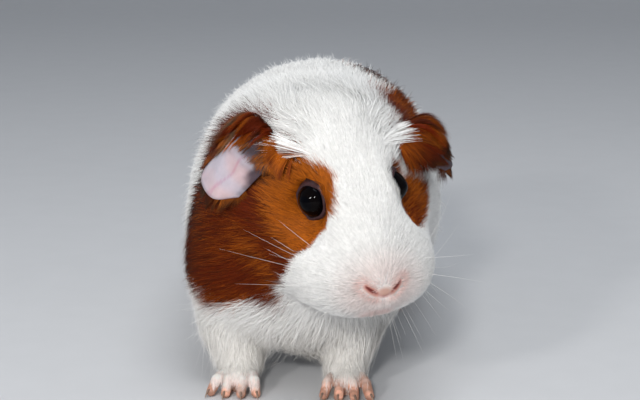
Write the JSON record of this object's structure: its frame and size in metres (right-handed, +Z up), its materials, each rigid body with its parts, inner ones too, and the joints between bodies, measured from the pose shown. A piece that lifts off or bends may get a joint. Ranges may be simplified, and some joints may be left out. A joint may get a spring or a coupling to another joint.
{
  "type": "guinea pig",
  "caption": "Life-size still model of a standing short-haired guinea pig, white with ginger patches, its head turned to its left.",
  "frame": {"origin": "middle of the bounding box at the level of the soles", "axes": "+Z up, the nose towards -Y, the animal's left towards +X"},
  "size_m": [0.0934, 0.1934, 0.0924],
  "materials": {
    "white_coat": "short smooth white fur",
    "ginger_coat": "short smooth ginger fur over dusky bare ear skin",
    "nose_skin": "bare moist pink skin",
    "foot_skin": "bare pink skin with sparse hair",
    "eye_black": "wet glossy near-black",
    "claw_horn": "smooth translucent horn"
  },
  "bodies": {
    "root": {"rump": "white_coat", "barrel": "white_coat", "shoulders": "white_coat", "neck": "white_coat", "head": "white_coat", "muzzle": "white_coat", "lower_jaw": "white_coat", "nose": "nose_skin", "eye_right": "eye_black", "eye_left": "eye_black", "ear_right": "ginger_coat", "ear_left": "ginger_coat", "fore_right_leg": "white_coat", "fore_right_claw_1": "claw_horn", "fore_right_claw_2": "claw_horn", "fore_right_claw_3": "claw_horn", "fore_right_claw_4": "claw_horn", "fore_right_foot": "foot_skin", "fore_left_leg": "white_coat", "fore_left_claw_1": "claw_horn", "fore_left_claw_2": "claw_horn", "fore_left_claw_3": "claw_horn", "fore_left_claw_4": "claw_horn", "fore_left_foot": "foot_skin", "hind_right_leg": "white_coat", "hind_right_claw_1": "claw_horn", "hind_right_claw_2": "claw_horn", "hind_right_claw_3": "claw_horn", "hind_right_foot": "foot_skin", "hind_left_leg": "white_coat", "hind_left_claw_1": "claw_horn", "hind_left_claw_2": "claw_horn", "hind_left_claw_3": "claw_horn", "hind_left_foot": "foot_skin"}
  },
  "joints": []
}
